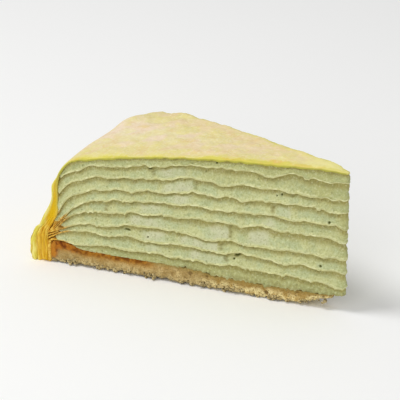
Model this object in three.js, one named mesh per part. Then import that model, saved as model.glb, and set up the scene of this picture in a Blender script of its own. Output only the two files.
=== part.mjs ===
// A wedge cut from a layered crepe cake: a sponge base, nine layers of whipped
// cream with a thin crepe between each two, and one more crepe over the top
// that drapes down the round rim and gathers in pleats at its foot.
// Units are millimetres and +Z is up. The wedge's middle line lies along X,
// its point is towards +X and its round rim towards -X.

import * as THREE from 'three';

// ---- Driving dimensions ----------------------------------------------------

const wedgeAngle = THREE.MathUtils.degToRad( 28 ); // about a thirteenth of a whole cake
const tipRounding = 1.0;      // radius of the wedge's point, seen from above
const firstArc = 6.5;         // radius from which cross lines are plain arcs
const crepeThickness = 0.65;
const crepeEndThickness = 0.5; // a crepe's edge is thinner than its middle
const layerGap = 0.16;        // clearance between neighbouring layers
const domeStart = 20;         // inside this radius the layers lie level
const sagRadius = 106;        // radius at which each layer's full sag is given
const farSag = 0.48;          // part of it that the layers have at the cut face towards +Y
const farRise = 0.5;          // how much higher the top lies by that face
const turnWidth = 3.5;        // length over which a layer bends down at the rim

// The underside of the crepe on top of the cake, then the eight crepes inside,
// from the top down. Each has its height at the point, how far it has sagged at
// the rim, where and how steeply it then turns down, and the radius of its edge.
const coverUnderside = { height: 47.1, sag: 10.2 };
const cornerDip = { radius: 97, fromSide: 0.75, depth: 1.3, width: 7 }; // of the top, at its far corner
const crepes = [
	{ height: 44.3, sag: 8.9, turn: 105.0, slope: 2.0, edge: 104.8 },
	{ height: 38.9, sag: 6.9, turn: 103.0, slope: 1.6, edge: 105.4 },
	{ height: 34.7, sag: 7.0, turn: 103.6, slope: 2.4, edge: 105.5 },
	{ height: 29.7, sag: 5.6, turn: 99.0, slope: 1.05, edge: 106.0 },
	{ height: 25.2, sag: 4.9, turn: 101.5, slope: 1.1, edge: 106.5 },
	{ height: 18.7, sag: 2.2, turn: 98.0, slope: 0.4, edge: 108.8 },
	{ height: 14.2, sag: 0.9, turn: 103.5, slope: 0.6, edge: 109.8 },
	{ height: 9.6, sag: 0.8, turn: 106.0, slope: 0.05, edge: 109.2 },
];
const creamEdge = [ 104.8, 105.4, 105.4, 105.2, 104.6, 104.2, 105.2, 106.6, 101 ];

// Local swells of a crepe by the cut face towards -Y: which one, at what radius,
// how high and how wide.
const swells = [
	{ crepe: 0, radius: 8, rise: 0.6, width: 4 },
	{ crepe: 0, radius: 20.5, rise: 1.0, width: 3.5 },
	{ crepe: 0, radius: 31, rise: - 0.6, width: 5 },
	{ crepe: 0, radius: 53, rise: 0.6, width: 9 },
	{ crepe: 0, radius: 73, rise: - 0.6, width: 5 },
	{ crepe: 1, radius: 16, rise: - 0.6, width: 5 },
	{ crepe: 1, radius: 25, rise: 1.1, width: 3 },
	{ crepe: 1, radius: 53, rise: 0.6, width: 9 },
	{ crepe: 2, radius: 19, rise: 0.7, width: 4 },
	{ crepe: 2, radius: 38, rise: - 0.5, width: 4 },
	{ crepe: 3, radius: 32.5, rise: 0.6, width: 3 },
	{ crepe: 3, radius: 41, rise: - 0.4, width: 3.5 },
	{ crepe: 3, radius: 71, rise: 0.8, width: 5 },
	{ crepe: 4, radius: 6, rise: - 0.8, width: 8 },
	{ crepe: 4, radius: 34, rise: 0.9, width: 3.5 },
	{ crepe: 5, radius: 50.5, rise: - 0.9, width: 4 },
	{ crepe: 5, radius: 68, rise: 1.2, width: 10 },
	{ crepe: 6, radius: 4, rise: - 0.8, width: 5 },
	{ crepe: 6, radius: 38, rise: 0.7, width: 6 },
	{ crepe: 6, radius: 79, rise: 0.7, width: 6 },
	{ crepe: 7, radius: 47, rise: 0.4, width: 3 },
	{ crepe: 7, radius: 99, rise: - 0.9, width: 3.5 },
];
// Low waves that are highest by the cut face towards +Y.
const layerWaves = [
	{ height: 0.36, length: 31, twist: 1.9 },
	{ height: 0.3, length: 17, twist: 2.8 },
];
const nearWaves = 0.4;        // part of their height by the other cut face
const goldenTurn = Math.PI * ( 3 - Math.sqrt( 5 ) );

// Cut faces: each cream layer is scraped back under the crepe above it and
// stands proud just above the crepe below, and each crepe stands proud of both.
const creamSetBack = 0.6;
const creamProud = 0.2;
const crepeProud = 0.35;

// The crepe over the top, and its drape down the rim.
const coverThickness = 0.9;
const drapeThickness = 2.1;   // of its gathered folds where the drape starts
const gatherStart = 60;       // degrees of the shoulder's turn at which it starts to thicken
const gatherPower = 1.4;
const shoulderStart = 98;     // radius at which the top turns over
const shoulderDrop = 8.9;
const innerWaist = 106.2;
const innerFlare = { top: 20, bottom: 9.5, reach: 4.4 };
const outerFlare = { top: 25, bottom: 5, reach: 8.0 };
const pleatCount = 12;
const pleatDepth = 1.5;
const pleatTop = 29;          // height at which the pleats fade out
const coverLumps = [
	{ height: 0.25, length: 27, turn: 3.1 },
	{ height: 0.2, length: 13, turn: 6.3 },
];
// A hump where the cover lies doubled at the rim, and a lower one by the far cut face.
const coverHumps = [
	{ radius: 101, side: 0.4, rise: 1.6, width: 6 },
	{ radius: 86, side: 1, rise: 0.5, width: 6 },
];

// The sponge: its tip has crumbled away, and its outer corner is baked up.
const spongeTip = 8;
const spongeRadius = 109.8;
const spongeHeight = 5.0;
const spongeRises = [ { from: 44, to: 62, height: 1.3 }, { from: 95, to: 105, height: 1.7 } ];
const spongeCorner = 1.6;
const creamTipLift = 0.9;     // the lowest cream hangs a little above the plate
const tipCrumble = { radius: 21, lift: 3.2 };
const crumbDepth = 0.55;      // how far crumbs jut and hollow the cut sides
const crumbChamfer = 0.9;     // how high the ragged lower edge starts
const crumbInset = 1.4;

// ---- Colours ---------------------------------------------------------------

const finish = ( color, roughness ) => new THREE.MeshStandardMaterial( { color, roughness, metalness: 0 } );
const creamFinish = finish( 0xbec896, 0.75 );
const crepeFinish = finish( 0xd3c67a, 0.8 );
const coverFinish = finish( 0xebdca6, 0.7 );
const spongeFinish = finish( 0xd7be82, 0.95 );

// ---- Plan of the wedge -----------------------------------------------------

const halfAngle = wedgeAngle / 2;
const outerWaist = innerWaist + drapeThickness;
const tipCentre = tipRounding / Math.sin( halfAngle );
const tipRadius = tipRounding / Math.tan( halfAngle ); // where the rounding meets a cut face

const { smoothstep, lerp, degToRad } = THREE.MathUtils;

// A point of the plan at a distance from the wedge's apex. side runs from -1 on
// the cut face towards -Y to 1 on the other one.
function planPoint( radius, side ) {

	const arc = new THREE.Vector2(
		- radius * Math.cos( side * halfAngle ),
		radius * Math.sin( side * halfAngle )
	);
	if ( radius >= firstArc ) return arc;
	const angle = side * ( Math.PI / 2 - halfAngle );
	const rounding = new THREE.Vector2(
		- tipCentre + tipRounding * Math.cos( angle ),
		tipRounding * Math.sin( angle )
	);
	const first = new THREE.Vector2(
		- firstArc * Math.cos( side * halfAngle ),
		firstArc * Math.sin( side * halfAngle )
	);
	return rounding.lerp( first, ( radius - tipRadius ) / ( firstArc - tipRadius ) );

}

// Unit direction that points out of the wedge, at its point or at a cut face.
function outward( radius, side ) {

	if ( Math.abs( side ) === 1 ) {

		return new THREE.Vector2( Math.sin( halfAngle ), side * Math.cos( halfAngle ) );

	}

	const angle = side * ( Math.PI / 2 - halfAngle );
	return new THREE.Vector2( Math.cos( angle ), Math.sin( angle ) );

}

// ---- Heights of the layers -------------------------------------------------

// How far the layers have sagged at a place, as a part of each one's full sag.
function sagged( radius, side ) {

	const dome = Math.max( radius - domeStart, 0 ) / ( sagRadius - domeStart );
	return dome ** 2 * lerp( 1, farSag, ( 1 + side ) / 2 );

}

function coverUndersideHeight( radius, side ) {

	const over = Math.min( Math.max( radius - shoulderStart, 0 ) / ( innerWaist - shoulderStart ), 1 );
	const shoulder = shoulderDrop * ( 1 - Math.sqrt( 1 - over * over ) );
	const rise = farRise * ( 1 + side ) / 2 * smoothstep( radius, 3, 12 );
	const dip = cornerDip.depth * smoothstep( side, cornerDip.fromSide, 1 )
		* Math.exp( - ( ( ( radius - cornerDip.radius ) / cornerDip.width ) ** 2 ) );
	return coverUnderside.height - coverUnderside.sag * sagged( radius, side ) - shoulder + rise - dip;

}

function crepeHeight( index, radius, side ) {

	const { height, sag, turn, slope } = crepes[ index ];
	const past = radius - turn;
	let z = height - sag * sagged( radius, side ) - slope * ( past + Math.hypot( past, turnWidth ) ) / 2;
	const across = side * Math.min( radius / 40, 1 );
	const nearness = ( 1 - across ) / 2;
	const calm = ( 1 - 0.8 * smoothstep( radius, 92, 103 ) ) * lerp( 1, nearWaves, nearness );
	for ( const [ n, wave ] of layerWaves.entries() ) {

		const phase = goldenTurn * ( 3 * index + 5 * n + 1 ) + wave.twist * across;
		z += calm * wave.height * Math.sin( 2 * Math.PI * radius / wave.length + phase );

	}

	for ( const swell of swells ) {

		if ( swell.crepe !== index ) continue;
		z += swell.rise * nearness * Math.exp( - ( ( ( radius - swell.radius ) / swell.width ) ** 2 ) );

	}

	return z;

}

function spongeTop( radius ) {

	const tip = creamTipLift * ( 1 - smoothstep( radius, 3, 14 ) );
	let z = spongeHeight + tip;
	for ( const { from, to, height } of spongeRises ) z += height * smoothstep( radius, from, to );
	return z;

}

// How much farther apart upright than squarely two faces are, where a layer whose
// height is given rises or falls steeply.
function steepness( height, radius ) {

	const step = 0.1;
	return Math.hypot( 1, ( height( radius + step ) - height( radius - step ) ) / ( 2 * step ) );

}

// How far a crepe's surface, or what keeps clear of it, lies above or below its
// middle, measured upright.
function crepeReach( index, radius, side, clearance = 0 ) {

	const edge = crepes[ index ].edge;
	const thickness = lerp( crepeThickness, crepeEndThickness, smoothstep( radius, edge - 10, edge ) );
	return ( thickness / 2 + clearance ) * steepness( ( r ) => crepeHeight( index, r, side ), radius );

}

// ---- Building closed solids from two sheets --------------------------------

// upper and lower give the two faces' points at a station and a column. The
// walls round their edges have rows rings of quads, and wall may move a point
// of a wall, where height goes from 0 at the lower sheet to 1 at the upper.
function closedSheet( { stations, columns, upper, lower, rows = 1, wall } ) {

	const rim = [];
	for ( let i = stations - 1; i > 0; i -- ) rim.push( [ i, 0 ] );
	for ( let j = 0; j < columns - 1; j ++ ) rim.push( [ 0, j ] );
	for ( let i = 0; i < stations - 1; i ++ ) rim.push( [ i, columns - 1 ] );
	for ( let j = columns - 1; j > 0; j -- ) rim.push( [ stations - 1, j ] );
	const onRim = ( i, j ) => i === 0 || j === 0 || i === stations - 1 || j === columns - 1;

	const positions = [];
	const addPoint = ( point ) => positions.push( point.x, point.y, point.z ) / 3 - 1;
	const place = ( sheet, height ) => ( i, j ) => {

		const point = sheet( i, j );
		return addPoint( wall && onRim( i, j ) ? wall( point, i, j, height ) : point );

	};

	const grid = ( placed ) => Array.from( { length: stations }, ( _, i ) =>
		Array.from( { length: columns }, ( __, j ) => placed( i, j ) ) );
	const top = grid( place( upper, 1 ) );
	const bottom = grid( place( lower, 0 ) );

	const rings = [ rim.map( ( [ i, j ] ) => bottom[ i ][ j ] ) ];
	for ( let row = 1; row < rows; row ++ ) {

		const height = row / rows;
		rings.push( rim.map( ( [ i, j ] ) => {

			const point = lower( i, j ).lerp( upper( i, j ), height );
			return addPoint( wall ? wall( point, i, j, height ) : point );

		} ) );

	}

	rings.push( rim.map( ( [ i, j ] ) => top[ i ][ j ] ) );

	const faces = [];
	const addQuad = ( a, b, c, d ) => faces.push( a, b, c, a, c, d );
	for ( let i = 0; i < stations - 1; i ++ ) {

		for ( let j = 0; j < columns - 1; j ++ ) {

			addQuad( top[ i ][ j ], top[ i ][ j + 1 ], top[ i + 1 ][ j + 1 ], top[ i + 1 ][ j ] );
			addQuad( bottom[ i ][ j ], bottom[ i + 1 ][ j ], bottom[ i + 1 ][ j + 1 ], bottom[ i ][ j + 1 ] );

		}

	}

	for ( let row = 0; row < rows; row ++ ) {

		for ( let n = 0; n < rim.length; n ++ ) {

			const next = ( n + 1 ) % rim.length;
			addQuad( rings[ row ][ n ], rings[ row ][ next ], rings[ row + 1 ][ next ], rings[ row + 1 ][ n ] );

		}

	}

	const geometry = new THREE.BufferGeometry();
	geometry.setAttribute( 'position', new THREE.Float32BufferAttribute( positions, 3 ) );
	geometry.setIndex( faces );
	geometry.computeVertexNormals();
	return geometry;

}

const namedMesh = ( name, geometry, material ) => {

	const mesh = new THREE.Mesh( geometry, material );
	mesh.name = name;
	return mesh;

};

const at = ( radius, side, height ) => {

	const plan = planPoint( radius, side );
	return new THREE.Vector3( plan.x, plan.y, height );

};

// Moves a point of a wall out of the wedge, but leaves the round rim alone.
const pushOut = ( point, radius, side, distance ) => {

	const away = outward( radius, side );
	return point.add( new THREE.Vector3( away.x, away.y, 0 ).multiplyScalar( distance ) );

};

// Radii from the wedge's point out to a layer's edge. All layers share them, so
// that their facets lie face to face, and they are closer where layers turn down.
const innerSteps = 17;
const rimRadii = [ 92, 94.5, 97, 99, 100.7, 102.2, 103.4, 104.4, 105.4, 106.6, 108.2 ];

function layerRadii( edge ) {

	const radii = [ tipRadius ];
	for ( let n = 0; n < innerSteps; n ++ ) radii.push( lerp( firstArc, rimRadii[ 0 ], n / innerSteps ) );
	return [ ...radii, ...rimRadii.filter( ( radius ) => radius < edge - 0.1 ), edge ];

}

const layerSides = [ - 1, - 0.36, 0.36, 1 ];

// ---- Inner layers ----------------------------------------------------------

function creamLayer( index ) {

	const radii = layerRadii( creamEdge[ index ] );
	const ceiling = ( radius, side ) => index === 0
		? coverUndersideHeight( radius, side )
			- layerGap * steepness( ( r ) => coverUndersideHeight( r, side ), radius )
		: crepeHeight( index - 1, radius, side ) - crepeReach( index - 1, radius, side, layerGap );
	const floor = ( radius, side ) => index === crepes.length
		? spongeTop( radius ) + layerGap
		: crepeHeight( index, radius, side ) + crepeReach( index, radius, side, layerGap );
	return closedSheet( {
		stations: radii.length,
		columns: layerSides.length,
		upper: ( i, j ) => at( radii[ i ], layerSides[ j ], ceiling( radii[ i ], layerSides[ j ] ) ),
		lower: ( i, j ) => at( radii[ i ], layerSides[ j ], floor( radii[ i ], layerSides[ j ] ) ),
		rows: 2,
		wall: ( point, i, j, height ) => {

			const onRoundRim = i === radii.length - 1 && Math.abs( layerSides[ j ] ) !== 1;
			if ( onRoundRim ) return point;
			return pushOut( point, radii[ i ], layerSides[ j ], lerp( creamProud, - creamSetBack, height ) );

		},
	} );

}

function crepeLayer( index ) {

	const radii = layerRadii( crepes[ index ].edge );
	const face = ( direction ) => ( i, j ) => {

		const side = layerSides[ j ];
		const half = crepeReach( index, radii[ i ], side );
		return at( radii[ i ], side, crepeHeight( index, radii[ i ], side ) + direction * half );

	};

	return closedSheet( {
		stations: radii.length,
		columns: layerSides.length,
		upper: face( 1 ),
		lower: face( - 1 ),
		wall: ( point, i, j ) => {

			const onRoundRim = i === radii.length - 1 && Math.abs( layerSides[ j ] ) !== 1;
			return onRoundRim ? point : pushOut( point, radii[ i ], layerSides[ j ], crepeProud );

		},
	} );

}

// ---- The crepe over the top ------------------------------------------------

// Its profile from the point to the foot, as steps along the level top, the
// shoulder and the drape. Each step gives the inner and the outer face.
function coverProfile( side ) {

	const topSteps = 14;
	const shoulderSteps = 6;
	const drapeSteps = 9;
	const profile = [ { radius: tipRadius }, { radius: firstArc } ];
	for ( let n = 1; n <= topSteps; n ++ ) profile.push( { radius: lerp( firstArc, shoulderStart, n / topSteps ) } );
	for ( const step of profile ) {

		const z = coverUndersideHeight( step.radius, side );
		step.inner = [ step.radius, z ];
		step.outer = [ step.radius, z + coverThickness ];

	}

	for ( let n = 1; n <= shoulderSteps; n ++ ) {

		const angle = 90 * n / shoulderSteps;
		const [ across, up ] = [ Math.sin( degToRad( angle ) ), Math.cos( degToRad( angle ) ) ];
		const radius = shoulderStart + ( innerWaist - shoulderStart ) * across;
		const z = coverUndersideHeight( radius, side );
		const gathered = smoothstep( angle, gatherStart, 90 ) ** gatherPower;
		const thickness = lerp( coverThickness, drapeThickness, gathered );
		profile.push( { inner: [ radius, z ], outer: [ radius + thickness * across, z + thickness * up ] } );

	}

	const waist = profile.at( - 1 );
	for ( let n = 1; n <= drapeSteps; n ++ ) {

		const hang = ( start, waistRadius, flare ) => {

			const z = start * ( 1 - n / drapeSteps );
			return [ waistRadius + flare.reach * smoothstep( - z, - flare.top, - flare.bottom ), z ];

		};

		profile.push( {
			inner: hang( waist.inner[ 1 ], innerWaist, innerFlare ),
			outer: hang( waist.outer[ 1 ], outerWaist, outerFlare ),
		} );

	}

	return profile;

}

function coverCrepe() {

	const columns = 2 * pleatCount + 1;
	const side = ( j ) => 2 * j / ( columns - 1 ) - 1;
	const profiles = Array.from( { length: columns }, ( _, j ) => coverProfile( side( j ) ) );
	const stations = profiles[ 0 ].length;
	const pleat = ( j, height ) => {

		const depth = pleatDepth * ( 0.75 + 0.25 * Math.sin( goldenTurn * j ) );
		const strength = 1 - smoothstep( height, 0, pleatTop );
		return ( j % 2 === 0 ? - 0.5 : 0.5 ) * depth * strength;

	};

	const lumps = ( radius, at ) => {

		let rise = 0;
		for ( const wave of coverLumps ) {

			rise += wave.height * Math.sin( 2 * Math.PI * radius / wave.length + wave.turn * at )
				* Math.cos( wave.turn * at * 0.7 + radius / wave.length );

		}

		return Math.max( rise * ( 1 - smoothstep( radius, 90, shoulderStart ) ), - 0.3 );

	};

	const humps = ( radius, at ) => {

		let rise = 0;
		for ( const hump of coverHumps ) {

			const off = Math.hypot( radius - hump.radius, ( at - hump.side ) * halfAngle * hump.radius );
			rise += hump.rise * Math.exp( - ( ( off / hump.width ) ** 2 ) );

		}

		return rise;

	};

	return closedSheet( {
		stations,
		columns,
		upper: ( i, j ) => {

			const [ radius, height ] = profiles[ j ][ i ].outer;
			const onDrape = radius > outerWaist - 1;
			if ( onDrape ) return at( radius + pleat( j, height ), side( j ), height );
			return at( radius, side( j ), height + lumps( radius, side( j ) ) + humps( radius, side( j ) ) );

		},
		lower: ( i, j ) => at( profiles[ j ][ i ].inner[ 0 ], side( j ), profiles[ j ][ i ].inner[ 1 ] ),
		wall: ( point, i, j ) => {

			const onFoot = i === stations - 1 && j > 0 && j < columns - 1;
			return onFoot ? point : pushOut( point, profiles[ j ][ i ].inner[ 0 ], side( j ), crepeProud );

		},
	} );

}

// ---- The sponge base -------------------------------------------------------

// A crumb's jut at a place along an edge: a few waves out of step.
const crumbs = ( place ) => ( Math.sin( 2.1 * place ) + Math.sin( 3.7 * place + 1 ) + Math.sin( 5.3 * place + 2 ) ) / 3;

function spongeBase() {

	const steps = 46;
	const radii = [ spongeTip, spongeTip + 1.5 ];
	for ( let n = 1; n <= steps; n ++ ) radii.push( lerp( spongeTip + 1.5, spongeRadius - spongeCorner, n / steps ) );
	radii.push( spongeRadius );
	const sides = [ - 1, - 0.9, - 0.3, 0.3, 0.9, 1 ];
	const last = radii.length - 1;
	const onEdge = ( i, j ) => i === 0 || i === last || j === 0 || j === sides.length - 1;
	return closedSheet( {
		stations: radii.length,
		columns: sides.length,
		upper: ( i, j ) => {

			const corner = i === last ? spongeCorner : 0;
			return at( radii[ i ], sides[ j ], spongeTop( radii[ i ] ) - corner );

		},
		lower: ( i, j ) => {

			const eroded = tipCrumble.lift * ( 1 - smoothstep( radii[ i ], spongeTip, tipCrumble.radius ) );
			const chamfer = onEdge( i, j ) ? crumbChamfer + 0.4 * crumbs( 1.3 * radii[ i ] + 3 * j ) : 0;
			const level = i === last ? 0.4 : Math.max( eroded + chamfer, 0 );
			return at( radii[ i ], sides[ j ], level );

		},
		rows: 3,
		wall: ( point, i, j, height ) => {

			const onRoundRim = i === last;
			if ( onRoundRim ) return point;
			const jut = crumbDepth * crumbs( radii[ i ] + 2.7 * height + 5 * j );
			const tuckedUnder = height === 0 ? - crumbInset : 0;
			return pushOut( point, radii[ i ], sides[ j ], jut + tuckedUnder );

		},
	} );

}

// ---- The slice -------------------------------------------------------------

const slice = new THREE.Group();
slice.add( namedMesh( 'cover_crepe', coverCrepe(), coverFinish ) );
for ( let n = 0; n < creamEdge.length; n ++ ) {

	slice.add( namedMesh( `cream_${ n + 1 }`, creamLayer( n ), creamFinish ) );

}

for ( let n = 0; n < crepes.length; n ++ ) {

	slice.add( namedMesh( `crepe_${ n + 1 }`, crepeLayer( n ), crepeFinish ) );

}

slice.add( namedMesh( 'sponge_base', spongeBase(), spongeFinish ) );

// The origin is under the middle of the slice, on the surface that it stands on.
const bounds = new THREE.Box3().setFromObject( slice );
const middle = bounds.getCenter( new THREE.Vector3() );
slice.position.set( - middle.x, - middle.y, - bounds.min.z );

export default slice;
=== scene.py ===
"""A slice of crepe cake: sponge, nine layers of green whipped cream with thin
crepes between them, and a crepe over the top that hangs down the round rim."""

import math
import random
from functools import lru_cache

import bmesh
import bpy
from mathutils import Matrix, Vector, noise


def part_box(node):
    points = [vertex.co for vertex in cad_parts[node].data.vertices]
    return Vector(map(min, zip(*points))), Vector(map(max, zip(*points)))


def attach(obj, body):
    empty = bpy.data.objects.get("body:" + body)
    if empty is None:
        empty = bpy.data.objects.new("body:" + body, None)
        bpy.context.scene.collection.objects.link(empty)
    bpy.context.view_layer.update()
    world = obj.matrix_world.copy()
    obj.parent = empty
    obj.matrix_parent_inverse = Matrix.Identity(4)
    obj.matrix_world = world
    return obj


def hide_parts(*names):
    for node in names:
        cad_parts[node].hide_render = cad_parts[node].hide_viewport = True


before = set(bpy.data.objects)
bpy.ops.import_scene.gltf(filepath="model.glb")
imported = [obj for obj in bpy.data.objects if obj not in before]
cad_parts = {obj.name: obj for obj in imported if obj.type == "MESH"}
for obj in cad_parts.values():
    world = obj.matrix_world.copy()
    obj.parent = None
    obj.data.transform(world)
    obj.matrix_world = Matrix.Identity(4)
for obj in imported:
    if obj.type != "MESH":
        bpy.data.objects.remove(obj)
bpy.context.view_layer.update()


# ---- The plan of the slice --------------------------------------------------
# A wedge is cut from the round cake with two strokes of a long knife that meet
# at the middle, which leaves a slightly blunt point. Lengths are millimetres,
# measured from the point where the two cut faces would meet.

MM = 0.001
HALF_ANGLE = math.radians(14)
# The radius of the blunt point, where it meets the cut faces and where its middle lies, and the
# first radius at which the pieces are divided along arcs round the middle of the cake.
TIP_ROUNDING = 1.0
TIP_RADIUS = TIP_ROUNDING / math.tan(HALF_ANGLE)
TIP_CENTRE = TIP_ROUNDING / math.sin(HALF_ANGLE)
FIRST_ARC = 6.5
# How far the crepes stand out of the cut.
CREPE_PROUD = 0.35

crepe_low, crepe_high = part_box("crepe_5")
apex_x = crepe_high[0] / MM + TIP_CENTRE - TIP_ROUNDING - CREPE_PROUD
apex_y = (crepe_low[1] + crepe_high[1]) / 2 / MM


def smooth(low, high, value):
    """0 at low, 1 at high, and an even S between."""
    part = min(max((value - low) / (high - low), 0), 1)
    return part * part * (3 - 2 * part)


def mix(first, second, part):
    return first + (second - first) * part


@lru_cache(maxsize=None)
def plan_point(radius, side):
    """Where a place lies seen from above. side is -1 on the shown cut face and 1 on the back one."""
    bearing = side * HALF_ANGLE
    if radius >= FIRST_ARC:
        return Vector((-radius * math.cos(bearing), radius * math.sin(bearing), 0))
    turn = side * (math.pi / 2 - HALF_ANGLE)
    blunt = Vector((-TIP_CENTRE + TIP_ROUNDING * math.cos(turn), TIP_ROUNDING * math.sin(turn), 0))
    arc = Vector((-FIRST_ARC * math.cos(bearing), FIRST_ARC * math.sin(bearing), 0))
    return blunt.lerp(arc, (radius - TIP_RADIUS) / (FIRST_ARC - TIP_RADIUS))


def placed(radius, side, height):
    plan = plan_point(radius, side)
    return Vector((plan.x, plan.y, height))


def from_cut(radius, side):
    """How far a place lies from the nearest cut face."""
    return radius * math.sin((1 - abs(side)) * HALF_ANGLE)


def outward(side):
    """The direction out of a cut face, or out of the blunt point between them."""
    if abs(side) == 1:
        return Vector((math.sin(HALF_ANGLE), side * math.cos(HALF_ANGLE), 0))
    turn = side * (math.pi / 2 - HALF_ANGLE)
    return Vector((math.cos(turn), math.sin(turn), 0))


def waver(place, seed):
    """Smooth unevenness between about -1 and 1 along a line."""
    return noise.noise(Vector((place, 7.3 * seed, 2.1 * seed)))


def cells(point, size):
    """How near a point lies to the middle of its cell, from 1 down to 0 at its edge, and a draw
    between 0 and 1 that the cell's points share."""
    (near, *_), (middle, *_) = noise.voronoi(point / size)
    return max(1 - 2 * near, 0), noise.cell(middle * 7.7)


def hump(place, middle, width):
    """1 in the middle, and down to nothing on both sides."""
    return math.exp(-((place - middle) / width) ** 2)


def soft_block(along, across, up):
    """A closed block of quads that runs from 0 to 1 each way, for a formula to bend."""
    bm = bmesh.new()
    bmesh.ops.create_cube(bm, size=1)
    bmesh.ops.translate(bm, verts=bm.verts, vec=(0.5, 0.5, 0.5))
    for axis, steps in enumerate((along, across, up)):
        runs = [edge for edge in bm.edges if abs(edge.verts[0].co[axis] - edge.verts[1].co[axis]) > 0.5]
        bmesh.ops.subdivide_edges(bm, edges=runs, cuts=steps - 1, use_grid_fill=True)
    return bm


def bend(bm, shape, *marks):
    """Moves each point of a block to where shape puts it, and keeps on the mesh what the finish
    reads: rise, from 0 at the underside to 1 at the top; radius and cut, in millimetres from the
    middle of the cake and from the nearest cut face; and the marks that shape adds."""
    layers = [bm.verts.layers.float.new(name) for name in ("rise", "radius", "cut", *marks)]
    for vert in bm.verts:
        along, across, up = vert.co
        # Rounded, so that places one above another share their worked-out heights.
        side = round(2 * across - 1, 4)
        point, radius, *extra = shape(round(along, 6), side, up)
        for layer, value in zip(layers, (up, radius, from_cut(radius, side), *extra)):
            vert[layer] = value
        vert.co = (point + Vector((apex_x, apex_y, 0))) * MM
    bmesh.ops.recalc_face_normals(bm, faces=bm.faces)


def to_object(bm, name, finish):
    mesh = bpy.data.meshes.new(name)
    for face in bm.faces:
        face.smooth = True
    bm.to_mesh(mesh)
    bm.free()
    mesh.materials.append(finish)
    made = bpy.data.objects.new(name, mesh)
    bpy.context.scene.collection.objects.link(made)
    return made


def to_piece(bm, name, finish, slot, *nodes):
    """Turns a mesh into a piece of the slice that stands for its CAD nodes."""
    piece = to_object(bm, name, finish)
    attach(piece, "root")
    if nodes:
        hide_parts(*nodes)


# ---- Finishes ---------------------------------------------------------------
# Every surface is matte food: cream, cooked crepe or open sponge. A finish is
# written as sums over what the mesh carries and over noise in its own space.

def seen(red, green, blue):
    """A colour as a screen shows it, 0 to 255, as the linear values that a shader takes."""
    def linear(part):
        part /= 255
        return part / 12.92 if part <= 0.04045 else ((part + 0.055) / 1.055) ** 2.4
    return (linear(red), linear(green), linear(blue), 1.0)


class Value:
    """A socket of a finish's shader that +, - and * work on."""

    def __init__(self, finish, socket):
        self.finish = finish
        self.socket = socket

    def sum(self, operation, first, second):
        return self.finish.node("Math", {"operation": operation}, {0: first, 1: second})

    def __add__(self, other):
        return self.sum("ADD", self, other)

    def __sub__(self, other):
        return self.sum("SUBTRACT", self, other)

    def __rsub__(self, other):
        return self.sum("SUBTRACT", other, self)

    def __mul__(self, other):
        return self.sum("MULTIPLY", self, other)

    __radd__ = __add__
    __rmul__ = __mul__


class Finish:
    """A material, made node by node."""

    def __init__(self, name):
        self.material = bpy.data.materials.new(name)
        self.material.use_nodes = True
        self.nodes = self.material.node_tree.nodes
        self.nodes.clear()

    def node(self, kind, settings, sockets, output=0):
        made = self.nodes.new("ShaderNode" + kind)
        for name, value in settings.items():
            setattr(made, name, value)
        for key, value in sockets.items():
            if isinstance(value, Value):
                self.material.node_tree.links.new(value.socket, made.inputs[key])
            else:
                made.inputs[key].default_value = value
        return Value(self, made.outputs[output]) if made.outputs else None

    def carried(self, name):
        """What the mesh carries under that name."""
        return self.node("Attribute", {"attribute_name": name}, {}, output=2)

    def noise(self, size, detail=2.0, stretch=(1, 1, 1)):
        """Noise whose bumps are about size millimetres across, or more where stretch is under 1."""
        place = self.node("TexCoord", {}, {}, output=3)
        where = self.node("Mapping", {}, {"Vector": place, "Scale": stretch})
        return self.node("TexNoise", {}, {"Vector": where, "Scale": 1 / (size * MM), "Detail": detail})

    def between(self, value, low, high):
        """0 at low and 1 at high, with an even S between."""
        ends = {"Value": value, "From Min": low, "From Max": high}
        return self.node("MapRange", {"interpolation_type": "SMOOTHSTEP"}, ends)

    def blend(self, part, first, second):
        """One colour over another."""
        return self.node("Mix", {"data_type": "RGBA"}, {0: part, 6: first, 7: second}, output=2)

    def finish(self, colour, relief, depth, roughness):
        """Closes the material: its colour, and a relief of depth millimetres."""
        bump = self.node("Bump", {}, {"Height": relief, "Distance": depth * MM, "Strength": 1.0})
        shader = self.node("BsdfPrincipled", {}, {
            "Base Color": colour, "Normal": bump, "Roughness": roughness, "Specular IOR Level": 0.25})
        self.node("OutputMaterial", {}, {"Surface": shader})
        return self.material


# ---- The sponge base --------------------------------------------------------
# A thin round of sponge is baked on its own. Its top and rim brown to a crust,
# and the knife drags crumbs out of its cut sides and breaks its point away.

SPONGE_TIP = 8.0
SPONGE_RADIUS = 109.6
SPONGE_CORNER = 1.6
SPONGE_HEIGHT = 5.0
# How much higher it stands at its point, from its middle on, and at its baked rim.
POINT_RISE, MIDDLE_RISE, RIM_RISE = 0.9, 1.3, 1.7
# How far its underside is broken away at the point, and how ragged it is along the cuts.
BROKEN_AWAY, BROKEN_END = 3.2, 21
RAGGED_EDGE = 0.9
# The size of its crumbs, and the draw above which one has fallen out.
COARSE_CRUMB, FINE_CRUMB = 2.4, 1.1
FALLEN_OUT = 0.78


def sponge_top(radius):
    tip = POINT_RISE * (1 - smooth(3, 14, radius))
    return SPONGE_HEIGHT + tip + MIDDLE_RISE * smooth(44, 62, radius) + RIM_RISE * smooth(95, 105, radius)


def crumbly(point, size):
    """Relief of crumbs of about that size: round lumps, with hollows where some are gone."""
    lump, draw = cells(point, size)
    gone = draw > FALLEN_OUT
    return (-1.2 if gone else 0.7) * lump, gone and lump > 0.25


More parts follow.
